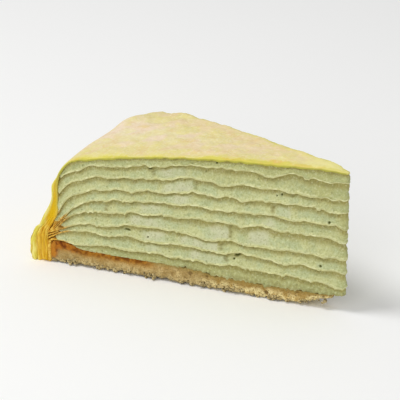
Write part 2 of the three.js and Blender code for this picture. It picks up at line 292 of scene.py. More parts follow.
def sponge_shape(along, side, up):
    radius = mix(SPONGE_TIP, SPONGE_RADIUS, along)
    plan = plan_point(radius, side)
    foot = BROKEN_AWAY * (1 - smooth(SPONGE_TIP, BROKEN_END, radius))
    ragged, _ = crumbly(Vector((plan.x, plan.y, 3)), 2.1)
    ragged = max(RAGGED_EDGE + RAGGED_EDGE * ragged + noise.noise(plan / 2.9), 0)
    foot += ragged * smooth(4, 0.5, from_cut(radius, side))
    top = sponge_top(radius) - SPONGE_CORNER * smooth(0.985, 1, along)
    point = Vector((plan.x, plan.y, mix(foot, top, up)))
    hollow_shade = 0.0
    if abs(side) == 1 or along == 0:
        coarse, gone = crumbly(point, COARSE_CRUMB)
        fine, pitted = crumbly(point + Vector((9, 4, 2)), FINE_CRUMB)
        # The crumb is dense by the rim and open towards the point.
        open_crumb = smooth(75, 50, radius)
        # How much painted shade a hollow gets where a crumb is gone or pitted.
        hollow_shade = max(mix(0.5, 1, open_crumb) * gone, 0.7 * open_crumb * pitted)
        jut = mix(0.3, 0.6, open_crumb) * coarse + 0.25 * fine + 0.4 * noise.noise(point / 4)
        jut += 0.35 * smooth(0.7, 1, up) * open_crumb * noise.noise(point / 1.2)
        ragged_top = 0.7 * noise.noise(plan / 1.9) + 0.5 * noise.noise(plan / 0.8)
        point.z += smooth(0.6, 1, up) * mix(0.3, 1, open_crumb) * ragged_top
        point += outward(side) * (jut * mix(1, 0.5, smooth(0.9, 1, up)) - 0.3 * (1 - up) ** 2)
    elif along > 0.999:
        point.x += 0.2 * noise.noise(point / 3)
    return point, radius, hollow_shade


sponge = Finish("sponge crumb and crust")
rise = sponge.carried("rise")
radius = sponge.carried("radius")
hollow_shade = sponge.carried("hollow_shade")
grain = sponge.noise(0.7, detail=4)
patch = sponge.noise(5)
lumps = sponge.noise(2.2, detail=3)
clumps = sponge.noise(3.2, detail=4)
# Dense crumb by the rim, pale open crumb towards the point, painted shade along the foot.
open_crumb = sponge.between(radius + 16 * patch, 72, 52)
dense = sponge.blend(sponge.between(lumps, 0.38, 0.62), seen(180, 152, 94), seen(213, 189, 131))
dense = sponge.blend(0.6 * sponge.between(grain, 0.5, 0.38), dense, seen(150, 122, 70))
pale = sponge.blend(sponge.between(clumps, 0.48, 0.62), seen(252, 234, 170), seen(208, 178, 108))
olive = sponge.between(rise + 0.9 * (clumps - 0.5), 0.3, 0.8)
pale = sponge.blend(0.85 * olive, pale, seen(162, 126, 54))
coarse = sponge.blend(sponge.between(grain, 0.3, 0.48), seen(156, 124, 60), pale)
crumb = sponge.blend(0.95 * open_crumb, dense, coarse)
# Painted shade darkens the crumb towards the foot, less where the crumb is open.
foot_shade = sponge.between(rise + 0.6 * grain, 0.5, 0.3) * (1 - 0.7 * open_crumb)
crumb = sponge.blend(0.5 * foot_shade, crumb, seen(146, 134, 96))
pore = sponge.between(sponge.noise(0.7, detail=2), 0.6, 0.68)
crumb = sponge.blend((0.25 + 0.4 * open_crumb) * pore, crumb, seen(116, 90, 44))
# Painted shade in the hollows where crumbs have fallen out.
crumb = sponge.blend(0.75 * hollow_shade, crumb, seen(112, 84, 38))
# The baked crust is rust brown, redder at the rim, and fades out towards the point.
rust = sponge.noise(1.8, detail=4)
brown_rust = sponge.blend(sponge.between(rust, 0.38, 0.62), seen(124, 70, 6), seen(176, 118, 34))
red_rust = sponge.blend(sponge.between(rust, 0.4, 0.6), seen(116, 54, 4), seen(184, 114, 32))
baked = sponge.blend(sponge.between(radius + 3 * patch, 98, 106), brown_rust, red_rust)
fading = sponge.between(radius + 6 * patch, 71, 79)
depth = rise + 0.16 * (lumps - 0.5) + 0.1 * (grain - 0.5)
warm = sponge.between(depth, 0.3, 0.8) * sponge.between(radius + 12 * patch, 66, 84)
crumb = sponge.blend(0.75 * warm, crumb, seen(186, 134, 50))
shaded = sponge.between(depth, 0.7, 1.0) * (1 - fading)
crumb = sponge.blend(0.8 * shaded, crumb, seen(158, 134, 70))
crust = sponge.between(depth + 0.1 * sponge.between(radius, 90, 102), 0.58, 0.88) * fading
rim_crust = sponge.between(radius + 3 * patch, 107.4, 109.4) * sponge.between(rise, 0.0, 0.3)
rim_tone = sponge.blend(sponge.between(radius + 0.8 * lumps, 107.6, 108.8), red_rust, seen(198, 130, 40))
colour = sponge.blend(crust, crumb, baked)
colour = sponge.blend(rim_crust, colour, rim_tone)
sponge_finish = sponge.finish(colour, grain + 0.6 * sponge.noise(0.35), 0.35, 0.95)

block = soft_block(440, 26, 22)
bend(block, sponge_shape, "hollow_shade")
to_piece(block, "sponge_base_crumb", sponge_finish, "sponge", "sponge_base")


# ---- Inner crepes -----------------------------------------------------------
# Eight thin crepes, each fried and laid on the cream below it. At the knife's
# cut their edges stand a little proud in a wavering line, and at the rim they
# turn down and gather, where their fried edges show brown.

CREPE_THICKNESS = 0.65
CREPE_END_THICKNESS = 0.5
# The width over which a crepe starts to turn down.
TURN_WIDTH = 3.5
# The radii from which and up to which the cake sags, and the part of that at the back cut face.
DOME_START, SAG_RADIUS = 20, 106
FAR_SAG = 0.48
# How far the waves of one crepe start from those of the next, so that none line up.
GOLDEN_TURN = math.pi * (3 - math.sqrt(5))

# Height at the point, sag at the rim, where and how steeply it turns down, and where it ends.
CREPES = (
    dict(height=44.3, sag=8.9, turn=105.0, slope=2.0, edge=104.8),
    dict(height=38.9, sag=6.9, turn=103.0, slope=1.6, edge=105.4),
    dict(height=34.7, sag=7.0, turn=103.6, slope=2.4, edge=106.1),
    dict(height=29.7, sag=5.6, turn=99.0, slope=1.05, edge=109.2),
    dict(height=25.2, sag=4.9, turn=101.5, slope=1.1, edge=110.2),
    dict(height=18.7, sag=2.2, turn=98.0, slope=0.4, edge=110.3),
    dict(height=14.2, sag=0.9, turn=103.5, slope=0.6, edge=110.0),
    dict(height=9.6, sag=0.8, turn=106.0, slope=0.05, edge=108.2),
)
# Where a crepe lies high or low at the shown face.
SWELLS = (
    dict(crepe=0, radius=8, rise=0.6, width=4),
    dict(crepe=0, radius=14, rise=1.0, width=6),
    dict(crepe=0, radius=20.5, rise=1.0, width=3.5),
    dict(crepe=0, radius=31, rise=-0.6, width=5),
    dict(crepe=0, radius=53, rise=0.6, width=9),
    dict(crepe=0, radius=73, rise=-0.6, width=5),
    dict(crepe=1, radius=16, rise=-0.6, width=5),
    dict(crepe=1, radius=25, rise=1.1, width=3),
    dict(crepe=1, radius=53, rise=0.6, width=9),
    dict(crepe=2, radius=19, rise=0.7, width=4),
    dict(crepe=2, radius=38, rise=-0.5, width=4),
    dict(crepe=3, radius=32.5, rise=0.6, width=3),
    dict(crepe=3, radius=41, rise=-0.4, width=3.5),
    dict(crepe=3, radius=71, rise=0.8, width=5),
    dict(crepe=4, radius=6, rise=-0.8, width=8),
    dict(crepe=4, radius=34, rise=0.9, width=3.5),
    dict(crepe=5, radius=50.5, rise=-0.9, width=4),
    dict(crepe=5, radius=68, rise=1.2, width=10),
    dict(crepe=6, radius=4, rise=-0.8, width=5),
    dict(crepe=6, radius=38, rise=0.7, width=6),
    dict(crepe=6, radius=79, rise=0.7, width=6),
    dict(crepe=7, radius=47, rise=0.4, width=3),
    dict(crepe=7, radius=99, rise=-0.9, width=3.5),
)
# Every crepe also waves from face to face, less so at the shown one.
LAYER_WAVES = (dict(height=0.36, length=31, twist=1.9), dict(height=0.3, length=17, twist=2.8))
NEAR_WAVES = 0.4
# How far the knife has pulled each crepe down at the very point, and how far each dips by the rim.
POINT_PULL = (-0.2, -0.5, -0.5, 0.9, 0.9, 0.7, 0.7, 1.0)
RIM_DIP = (0.7, 0.7, 0.7, 0.7, 0.6, 0.4, 0.0, 0.0)
# The knife's drag leaves a finer wavering along a cut lip, with nicks: height and length.
LIP_WAVES = ((0.95, 6.4), (0.5, 2.7), (0.25, 1.2))
NICK_DEPTH = 0.6
# How far apart the gathered ends lie where one rests on the next.
STACKED = 0.45
# The lowest crepe's end is tucked down between the sponge's rim and the drape: which part of it,
# the share of that in which it turns, how far out and down the turn takes it, and where it ends.
TUCKED_PART, TUCK_TURN = 0.08, 0.25
TUCK_REACH, TUCK_DROP, TUCK_FOOT = 1.75, 1.4, 1.8
TUCK_THICKNESS = 0.9


def sagged(radius, side):
    """How far the dome has sagged there: 1 at the rim of the shown face, less at the back."""
    dome = max(radius - DOME_START, 0) / (SAG_RADIUS - DOME_START)
    return dome ** 2 * mix(1, FAR_SAG, (1 + side) / 2)


def calm(radius):
    """The layers waver less towards the rim."""
    return 1 - 0.8 * smooth(92, 103, radius)


@lru_cache(maxsize=None)
def lip(index, radius, back):
    """How a crepe's lip wavers up and down along a cut face, and where it is nicked."""
    seed = 3 * index + 31 * back
    height = sum(wave * waver(radius / length, seed + n) for n, (wave, length) in enumerate(LIP_WAVES))
    nick = smooth(0.3, 0.5, waver(radius / 3.1, seed + 17)) * smooth(0, 0.3, waver(radius / 1.3, seed + 23))
    return calm(radius) * (height - NICK_DEPTH * nick)


@lru_cache(maxsize=None)
def crepe_height(index, radius, side):
    """The middle of a crepe, with its swells and waves."""
    crepe = CREPES[index]
    past = radius - crepe["turn"]
    height = crepe["height"] - crepe["sag"] * sagged(radius, side)
    height -= crepe["slope"] * (past + math.hypot(past, TURN_WIDTH)) / 2
    height -= POINT_PULL[index] * smooth(8.5, TIP_RADIUS, radius) + RIM_DIP[index] * smooth(93, 99, radius)
    across = side * min(radius / 40, 1)
    nearness = (1 - across) / 2
    strength = calm(radius) * mix(1, NEAR_WAVES, nearness)
    for n, wave in enumerate(LAYER_WAVES):
        phase = GOLDEN_TURN * (3 * index + 5 * n + 1) + wave["twist"] * across
        height += strength * wave["height"] * math.sin(2 * math.pi * radius / wave["length"] + phase)
    for swell in SWELLS:
        if swell["crepe"] == index:
            height += swell["rise"] * nearness * hump(radius, swell["radius"], swell["width"])
    height += smooth(0.3, 1, abs(side)) * lip(index, radius, side > 0)
    if radius > SAG_RADIUS and index + 1 < len(CREPES):
        height = max(height, crepe_height(index + 1, radius, side) + STACKED)
    return height


@lru_cache(maxsize=None)
def crepe_reach(index, radius, side):
    """Half the upright thickness of a crepe, more where it is steep."""
    step = 0.5
    rise = crepe_height(index, radius + step, side) - crepe_height(index, radius - step, side)
    edge = CREPES[index]["edge"]
    thickness = mix(CREPE_THICKNESS, CREPE_END_THICKNESS, smooth(edge - 10, edge, radius))
    return thickness / 2 * math.hypot(1, rise / (2 * step))


def lip_jut(radius, side, up, seed):
    """How far a crepe's cut edge stands out: rounded, and leaning back a little below."""
    wander = 0.3 * waver(radius / 1.3, 40 + seed) + 0.22 * waver(radius / 4, 60 + seed)
    jut = CREPE_PROUD - 0.15 + 0.2 * math.sqrt(max(1 - (2 * up - 1) ** 2, 0)) - 0.2 * (1 - up)
    return jut + wander - 0.3 * smooth(8, TIP_RADIUS, radius)


def fried_edge(radius, height):
    """How brown a crepe is: only its gathered edge, low down at the rim."""
    return smooth(101, 104, radius + 2 * waver(height / 1.5, 77)) * smooth(21, 18, height)


def crepe_shape(index):
    edge = CREPES[index]["edge"]
    last = index == len(CREPES) - 1
    level_part = 1 - TUCKED_PART if last else 1.0

    def shape(along, side, up):
        radius = mix(TIP_RADIUS, edge, min(along / level_part, 1))
        reach = crepe_reach(index, radius, side)
        height = crepe_height(index, radius, side)
        tuck = max(along - level_part, 0) / (1 - level_part) if last else 0
        if tuck > 0:
            turn = min(tuck / TUCK_TURN, 1) * math.pi / 2
            fallen = max(tuck - TUCK_TURN, 0) / (1 - TUCK_TURN) * (height - TUCK_FOOT)
            radius += (TUCK_REACH + (2 * up - 1) * TUCK_THICKNESS / 2) * math.sin(turn)
            radius += 0.4 * tuck * waver(height / 4, 79)
            height -= TUCK_DROP * (1 - math.cos(turn)) + fallen
            reach *= math.cos(turn)
        height += (2 * up - 1) * reach
        point = placed(radius, side, height)
        if abs(side) == 1 or along == 0:
            point += outward(side) * lip_jut(radius, side, up, index)
        return point, radius, fried_edge(radius, height)
    return shape


fried = Finish("thin fried crepe")
rise = fried.carried("rise")
mottle = fried.noise(1.6, detail=3)
faint = fried.between(fried.noise(6, detail=3), 0.42, 0.58)
paste = fried.blend(fried.between(mottle, 0.35, 0.65), seen(206, 204, 144), seen(228, 228, 178))
paste = fried.blend(0.6 * faint, paste, seen(192, 190, 132))
# The lower half of a crepe is tan: partly its browned underside, partly painted shade where its rounded cut
# edge faces down.
under = fried.blend(fried.noise(4, detail=3), seen(158, 154, 92), seen(192, 182, 122))
spots = fried.noise(1.1, detail=3, stretch=(1, 1, 1.6))
browned = fried.blend(fried.between(spots, 0.38, 0.62), seen(166, 122, 46), seen(222, 184, 94))
golden = fried.blend(fried.between(spots, 0.36, 0.6), seen(206, 150, 40), seen(238, 202, 92))
browned = fried.blend(fried.between(fried.carried("radius") + 2 * mottle, 106.4, 109.4), browned, golden)
colour = fried.blend(fried.between(rise + 0.5 * (mottle - 0.5), 0.55, 0.2), paste, under)
colour = fried.blend(fried.carried("fried"), colour, browned)
fried_finish = fried.finish(colour, mottle + 0.4 * fried.noise(0.4), 0.12, 0.75)

for index in range(len(CREPES)):
    block = soft_block(520, 6, 6)
    bend(block, crepe_shape(index), "fried")
    to_piece(block, f"crepe_{index + 1}_sheet", fried_finish, "crepe", f"crepe_{index + 1}")


# ---- Gathered crepe edges ---------------------------------------------------
# Where the crepes turn down at the rim their spare width folds over itself. The
# folds lie packed between the crepes' edges, brown and thin.

# Which crepe a fold lies under, how far down towards the next one, from where to where, and how
# far it stands out of the cut.
EDGE_FOLDS = (
    dict(under=2, share=0.1, start=106.6, end=109.2, proud=0.0),
    dict(under=2, share=0.42, start=105.8, end=109.0, proud=-0.3),
    dict(under=2, share=0.74, start=104.6, end=109.0, proud=0.2),
    dict(under=3, share=0.3, start=103.4, end=108.9, proud=-0.3),
    dict(under=3, share=0.54, start=101.6, end=109.1, proud=0.4),
    dict(under=3, share=0.78, start=102.8, end=109.4, proud=-0.2),
    dict(under=4, share=0.28, start=105.0, end=109.9, proud=0.3),
    dict(under=4, share=0.52, start=103.6, end=110.0, proud=-0.4),
    dict(under=4, share=0.76, start=104.6, end=110.1, proud=0.2),
    dict(under=5, share=0.5, start=105.8, end=110.2, proud=0.0),
)
FOLD_THICKNESS = 0.38


def edge_fold_shape(fold):
    def shape(along, side, up):
        radius = mix(fold["start"], fold["end"], along)
        upper, lower = (crepe_height(fold["under"] + n, radius, side) for n in (0, 1))
        thickness = FOLD_THICKNESS * mix(0.3, 1, smooth(0, 0.3, along)) * (1 - 0.4 * along)
        height = mix(upper, lower, fold["share"]) + (up - 0.5) * thickness
        height += 0.2 * waver(radius / 2.2, 50 + fold["end"]) * smooth(0, 0.2, along)
        point = placed(radius, side, height)
        if abs(side) == 1:
            jut = fold["proud"] + 0.5 * waver(radius / 2.6, 3 * fold["end"]) - 0.5 * smooth(0.2, 0, along)
            point += outward(side) * jut
        return point, radius, fried_edge(radius + 1, height)
    return shape


for n, fold in enumerate(EDGE_FOLDS):
    block = soft_block(40, 24, 4)
    bend(block, edge_fold_shape(fold), "fried")
    to_piece(block, f"crepe_edge_fold_{n + 1}", fried_finish, "crepe")


# ---- Cream ------------------------------------------------------------------
# Green whipped cream is spread between the crepes. The knife drags it: each
# layer is hollowed under the crepe above and runs out over the lip of the crepe
# below, with scraped patches, small splits and open air pores.

# Where each layer ends, from the top down, how far its end bulges between the crepes, and how far
# the foot of one runs out.
CREAM_EDGES = (104.8, 105.6, 105.8, 106.4, 103.4, 104.0, 105.2, 106.6, 101.0)
END_BULGES = (0.4, 0.4, 0.4, 0.8, 0.9, 1.7, 1.0, 1.0, 0.4)
SPREAD_LAYER, SPREAD_FOOT = 4, 1.6
# The highest layer ends at the underside of the crepe over the top: its height at the point, how
# far it sags, how much higher it lies at the back, and where and how far it turns down.
COVER_HEIGHT = 47.1
COVER_SAG = 10.2
FAR_RISE = 0.5
SHOULDER_START, INNER_WAIST = 98, 106.2
SHOULDER_DROP = 8.9
# It dips at its far corner, and swells near the point.
CORNER_RADIUS, CORNER_SIDE = 97, 0.75
CORNER_DIP, CORNER_WIDTH = 1.3, 7
NOSE_RADIUS, NOSE_WIDTH, NOSE_RISE = 12, 10, 0.9
# How deep a layer is scraped under the crepe above it, and under the crepe over the top.
SCRAPED, TOP_SCRAPED = 0.55, 0.25
# The size of the air pores' cells, and the draw above which one is open.
PORE_SIZE, PORE_DRAW = 1.3, 0.8
# How olive each layer looks, from 0 to 1, from the top down: its own tone, and painted shade on the top and
# lowest layers.
OLIVE_AND_SHADE = (0.85, 0.5, 0.15, 0.1, 0.1, 0.0, 0.1, 0.15, 1.0)
# Where the knife has torn a layer of the shown face from top to bottom, how far the cream steps
# out there, and how the tear leans.
TEARS = (
    dict(layer=2, radius=70.7, step=0.3, slant=0.3),
    dict(layer=3, radius=55.7, step=0.4, slant=-0.2),
    dict(layer=6, radius=43.0, step=0.4, slant=0.5),
    dict(layer=7, radius=46.5, step=0.2, slant=-0.4),
    dict(layer=8, radius=44.5, step=-0.25, slant=0.3),
    dict(layer=5, radius=88.0, step=-0.2, slant=0.4),
    dict(layer=4, radius=28.0, step=0.25, slant=-0.8),
    dict(layer=3, radius=22.0, step=-0.2, slant=0.5),
)
# Where it has pressed the cream smooth and pale, and how softly that begins.
PRESSED = (
    dict(layer=3, start=55.8, end=68.0, fade=0.8),
    dict(layer=4, start=55.5, end=67.0, fade=4),
    dict(layer=6, start=43.2, end=53.0, fade=0.8),
    dict(layer=6, start=28.0, end=39.0, fade=3),
    dict(layer=4, start=21.5, end=27.8, fade=1.5),
    dict(layer=5, start=26.0, end=33.0, fade=3),
    dict(layer=8, start=44.8, end=59.6, fade=0.8),
    dict(layer=2, start=56.5, end=70.4, fade=5),
    dict(layer=7, start=47.0, end=62.0, fade=0.8),
    dict(layer=5, start=65.0, end=77.0, fade=6),
    dict(layer=6, start=63.0, end=81.0, fade=8),
    dict(layer=7, start=64.0, end=76.0, fade=4),
    dict(layer=8, start=66.0, end=75.0, fade=5),
)
# The larger air holes of the shown face, with the part of the layer's height at which each lies
# and how many times as long as high it is.
# Each hole is a shallow dent filled with painted shade.
AIR_HOLES = (
    dict(layer=1, radius=48.0, share=0.6, size=0.45, long=1),
    dict(layer=2, radius=72.0, share=0.92, size=0.6, long=2),
    dict(layer=3, radius=25.4, share=0.62, size=0.45, long=1),
    dict(layer=3, radius=27.0, share=0.5, size=0.35, long=1),
    dict(layer=4, radius=9.1, share=0.12, size=0.6, long=1),
    dict(layer=7, radius=80.2, share=0.57, size=0.45, long=3.5),
    dict(layer=7, radius=72.7, share=0.3, size=0.4, long=1),
    dict(layer=7, radius=11.6, share=0.25, size=0.55, long=1),
    dict(layer=8, radius=40.6, share=0.85, size=0.7, long=1.6),
    dict(layer=8, radius=41.6, share=0.52, size=0.5, long=1),
)


def cover_underside(radius, side):
    over = min(max(radius - SHOULDER_START, 0) / (INNER_WAIST - SHOULDER_START), 1)
    shoulder = SHOULDER_DROP * (1 - math.sqrt(1 - over * over))
    far = FAR_RISE * (1 + side) / 2 * smooth(3, 12, radius)
    far -= CORNER_DIP * smooth(CORNER_SIDE, 1, side) * hump(radius, CORNER_RADIUS, CORNER_WIDTH)
    nose = NOSE_RISE * hump(radius, NOSE_RADIUS, NOSE_WIDTH)
    return COVER_HEIGHT - COVER_SAG * sagged(radius, side) - shoulder + far + nose


def cream_shape(index):
    layer = index + 1
    lowest = index == len(CREPES)
    tears = [tear for tear in TEARS if tear["layer"] == layer]
    pressings = [pressing for pressing in PRESSED if pressing["layer"] == layer]
    holes = [hole for hole in AIR_HOLES if hole["layer"] == layer]

    @lru_cache(maxsize=None)
    def ceiling(radius, side):
        if index == 0:
            return cover_underside(radius, side)
        return crepe_height(index - 1, radius, side) - crepe_reach(index - 1, radius, side)

    @lru_cache(maxsize=None)
    def bed(radius, side):
        if lowest:
            return sponge_top(radius)
        return crepe_height(index, radius, side) + crepe_reach(index, radius, side)

    def knife_marks(radius, up, height):
        """The shown face: how far it stands out, how torn and pressed it is, and its painted shade in tears
        and air holes.
        """
        depth, split_shade_and_smear, pressed, hole_shade = 0.0, 0.0, 0.0, 0.0
        whole = smooth(0.04, 0.2, up) * smooth(0.92, 0.8, up)
        for tear in tears:
            past = radius - tear["radius"] - tear["slant"] * (up - 0.5) - 0.8 * waver(up * 3, tear["radius"])
            depth += tear["step"] * (smooth(-0.2, 0.2, past) - 0.5) * hump(past, 0, 6)
            split_shade_and_smear = max(split_shade_and_smear, whole * hump(past, 0, 0.7) * (0.7 + waver(up * 5, tear["radius"])))
        for pressing in pressings:
            shift = 0.9 * waver(up * 3, pressing["end"])
            inside = smooth(0, pressing["fade"], radius - pressing["start"] - 0.5 * shift)
            inside *= smooth(0, 3.5, pressing["end"] + 2 * shift - radius)
            pressed = max(pressed, inside * smooth(1.0, 0.7, up + 0.3 * waver(radius / 3, 5)))
        for hole in holes:
            off = (radius - hole["radius"]) / hole["long"]
            away = math.hypot(off, (up - hole["share"]) * height) / hole["size"]
            hole_shade = max(hole_shade, 1.5 * smooth(1, 0.4, away))
        return depth, split_shade_and_smear, pressed, hole_shade

    def shape(along, side, up):
        radius = mix(TIP_RADIUS, CREAM_EDGES[index], along)
        low, high = bed(radius, side), ceiling(radius, side)
        if along == 1:
            spread = SPREAD_FOOT * (1 - up) if layer == SPREAD_LAYER else 0
            radius += END_BULGES[index] * (1 - (2 * up - 1) ** 2) + spread
        plan = plan_point(radius, side)
        point = Vector((plan.x, plan.y, mix(low, high, up)))
        split_shade_and_smear, pressed, hole_shade = 0.0, 0.0, 0.0
        if abs(side) == 1 or along == 0:
            run_out = 0.0 if lowest else 0.3 * (1 - up) ** 5
            scraped = (TOP_SCRAPED if index == 0 else SCRAPED) * mix(0.5, 1, smooth(101, 84, radius))
            cove = (run_out - 0.2 * up - scraped * smooth(0.45, 1, up)) * mix(0.3, 1, smooth(3, 9, radius))
            relief = 0.34 * noise.noise(point / 3.6) + 0.3 * noise.noise(point / 1.5)
            relief += 0.2 * noise.noise(point / 0.7) + 0.25 * waver(radius / 9, 20 + layer + 9 * side)
            pore, drawn = cells(point, PORE_SIZE)
            # An open pore is a small dent with painted shade in it.
            if drawn > PORE_DRAW:
                hole_shade = 0.55 * smooth(0.4, 0.8, pore)
            if side < 1:
                depth, split_shade_and_smear, pressed, marked = knife_marks(radius, up, high - low)
                relief += depth
                hole_shade = max(hole_shade, marked)
            if lowest:
                # Towards the point the lowest layer is smeared into the sponge's crumbs.
                smeared = smooth(75, 55, radius)
                split_shade_and_smear = 0.7 * smeared * smooth(0.6, 0, up + 0.5 * noise.noise(point / 0.9))
                ragged = 1.1 * noise.noise(plan / 2.1) + 0.8 * noise.noise(plan / 0.8)
                point.z += smeared * (1 - up) ** 2 * ragged
            held = smooth(0, 0.1, up) * smooth(1, 0.96, up)
            cove = mix(cove, 0.05 - 0.3 * smooth(0.8, 1, up), 0.7 * pressed)
            relief = relief * mix(1, 0.4, pressed) - 0.35 * hole_shade - 0.25 * split_shade_and_smear
            point += outward(side) * (cove + relief * mix(0.5, 1, held))
        # The olive tone, partly painted shade, deepens towards the point and wavers along the layer.
        olive = OLIVE_AND_SHADE[index] + 0.35 * smooth(24, 8, radius) + 0.5 * waver(radius / 13, 70 + layer)
        olive += 0.5 * smooth(6.5, TIP_RADIUS, radius)
        return point, radius, split_shade_and_smear, pressed, hole_shade, min(max(olive, 0), 1)
    return shape


cream = Finish("green whipped cream")
rise = cream.carried("rise")
pressed = cream.carried("pressed")
hole_shade = cream.carried("hole_shade")
cloud = cream.noise(4.5, detail=3)
grain = cream.noise(0.6, detail=3)
wander = 0.2 * (cream.noise(1.8, detail=3) - 0.5)
combed = cream.noise(0.5, detail=2, stretch=(1, 1, 0.25))
colour = cream.blend(cream.between(cloud, 0.4, 0.62), seen(201, 203, 148), seen(190, 198, 150))
# Each layer's olive tone, partly painted shade.
colour = cream.blend(0.5 * cream.carried("olive"), colour, seen(164, 162, 94))
pale = pressed * (0.3 + 0.4 * cream.between(cloud, 0.58, 0.42))
colour = cream.blend(pale, colour, seen(206, 207, 175))
# The foot of every layer but the lowest gets a painted highlight, and a layer's scraped top gets painted
# shade, hatched.
foot = cream.between(rise + wander, 0.15, 0.0) * cream.between(cream.carried("olive"), 1.0, 0.9)
colour = cream.blend(foot, colour, seen(216, 216, 162))
lean = rise + wander - 0.15 * pressed
colour = cream.blend(0.8 * cream.between(lean, 0.4, 0.88), colour, seen(168, 159, 94))
# Darker strokes of painted shade in the scraped top under the crepe above.
hatched_shade = cream.between(lean, 0.6, 0.85) * cream.between(combed, 0.5, 0.6)
colour = cream.blend(0.55 * hatched_shade, colour, seen(152, 136, 74))
colour = cream.blend(0.7 * cream.between(lean, 0.86, 1.0), colour, seen(166, 156, 84))
colour = cream.blend(0.45 * cream.between(grain, 0.53, 0.66), colour, seen(154, 155, 94))
colour = cream.blend(0.35 * cream.between(grain, 0.46, 0.34), colour, seen(220, 223, 180))
# Painted shade in the tears, and on the lowest layer its smear of sponge crumbs.
colour = cream.blend(0.7 * cream.carried("split_shade_and_smear"), colour, seen(142, 132, 76))
# Painted shade in the open pores and air holes.
colour = cream.blend(0.8 * hole_shade, colour, seen(98, 100, 46))
cream_finish = cream.finish(colour, grain + 0.4 * combed, 0.16, 0.8)

for index in range(len(CREAM_EDGES)):
    block = soft_block(520, 6, 24)
    bend(block, cream_shape(index), "split_shade_and_smear", "pressed", "hole_shade", "olive")
    to_piece(block, f"cream_{index + 1}_layer", cream_finish, "cream", f"cream_{index + 1}")


# ---- The crepe over the top -------------------------------------------------
# One more, slightly thicker crepe closes the cake. It follows the dome, turns
# over the rim and hangs to the foot, where its spare width gathers in pleats.

COVER_THICKNESS = 0.9
DRAPE_THICKNESS = 2.1
OUTER_WAIST = INNER_WAIST + DRAPE_THICKNESS
# How much of the block's length goes to the top and to the turn over the rim.
TOP_SHARE, SHOULDER_SHARE = 0.62, 0.12
# The angle of the turn, in degrees, at which the crepe starts to thicken into the gathered drape,
# and how suddenly it does.
GATHER_START, GATHER_POWER = 60, 1.4
# The heights between which each face of the drape flares out, and how far.
INNER_FLARE = dict(top=20, bottom=9.5, reach=4.4)
OUTER_FLARE = dict(top=25, bottom=5, reach=8.0)
# How many pleats the drape has, how deep they are, and how high they reach.
PLEATS = 12
PLEAT_DEPTH = 1.5
PLEAT_TOP = 29
# The uneven top: bumps of these heights and sizes, places where it lies high, how far it is worn
# down at the point, and how much thinner than usual it can be.
BUMPS = ((0.55, 11), (0.46, 5), (0.28, 2.3), (0.1, 1.0))
HUMPS = (
    dict(radius=101, side=0.4, rise=1.6, width=6),
    dict(radius=86, side=1, rise=0.5, width=6),
)
POINT_DROOP = 0.7
THINNING = 0.4
# The top's cut edge droops, and the drape stands out in a ridge beside the cut: in each place
# how far, and from how high down to how low it comes on.
EDGE_DROOP, EDGE_DROOP_WIDTH = 0.25, 0.7
RIDGES = ((0.7, 27, 10), (0.9, 13.6, 12.2))
RIDGE_WIDTH = 2.5
# How many folds of the gathered drape show at the cut, and how deep they are.
FOLDS, FOLD_DEPTH = 4, 0.8


def flare(height, top, bottom, reach):
    return reach * smooth(-top, -bottom, -height)


@lru_cache(maxsize=None)
def cover_profile(along, side):
    """Radius and height of the crepe's inner and outer face, from the point out and down."""
    if along <= TOP_SHARE:
        radius = mix(TIP_RADIUS, SHOULDER_START, along / TOP_SHARE)
        height = cover_underside(radius, side)
        return (radius, height), (radius, height + COVER_THICKNESS)
    angle = 90 * min((along - TOP_SHARE) / SHOULDER_SHARE, 1)
    across, up = math.sin(math.radians(angle)), math.cos(math.radians(angle))
    radius = mix(SHOULDER_START, INNER_WAIST, across)
    height = cover_underside(radius, side)
    thickness = mix(COVER_THICKNESS, DRAPE_THICKNESS, smooth(GATHER_START, 90, angle) ** GATHER_POWER)
    inner = radius, height
    outer = radius + thickness * across, height + thickness * up
    hang = max(along - TOP_SHARE - SHOULDER_SHARE, 0) / (1 - TOP_SHARE - SHOULDER_SHARE)
    if hang > 0:
        low = inner[1] * (1 - hang)
        inner = INNER_WAIST + flare(low, **INNER_FLARE), low
        low = outer[1] * (1 - hang)
        outer = OUTER_WAIST + flare(low, **OUTER_FLARE), low
    return inner, outer


@lru_cache(maxsize=None)
def pleats(side, height):
    """How far the gathered folds stand out at a place round the rim, from about -1 to 1. They are
    tight by the shown corner, and looser and less regular away from it."""
    turn = PLEATS * (side + 1) + 1.3 * waver(2.6 * side, 81) + 0.5 * waver(7 * side, 88)
    loose = smooth(-0.95, -0.6, side)
    turn += 0.5 * waver(height / 8 + 3 * side, 86) + 1.4 * loose * waver(4.3 * side, 93)
    fold = 1 - 2 * abs(math.sin(math.pi / 2 * (turn + 1))) ** (0.8 + 0.3 * loose)
    depth = 0.85 + 0.7 * waver(5 * side, 83) + 0.8 * loose * waver(9 * side, 94)
    top = PLEAT_TOP + 7 * waver(6 * side, 89)
    return depth * (fold + 0.35 * waver(PLEATS * 3.3 * side, 82)) * (1 - smooth(4, top, height))


def cover_bumps(radius, side):
    """How high the top lies there. Where it lies low it is only thinned so far."""
    plan = plan_point(radius, side)
    level = 1 - 0.8 * smooth(92, SHOULDER_START + 6, radius)
    bumps = level * sum(rise * noise.noise(plan / size + Vector((3, 8, size))) for rise, size in BUMPS)
    for place in HUMPS:
        off = math.hypot(radius - place["radius"], (side - place["side"]) * HALF_ANGLE * place["radius"])
        bumps += place["rise"] * hump(off, 0, place["width"])
    bumps -= POINT_DROOP * smooth(10, TIP_RADIUS, radius)
    return bumps if bumps > 0 else THINNING * (math.exp(bumps / THINNING) - 1)


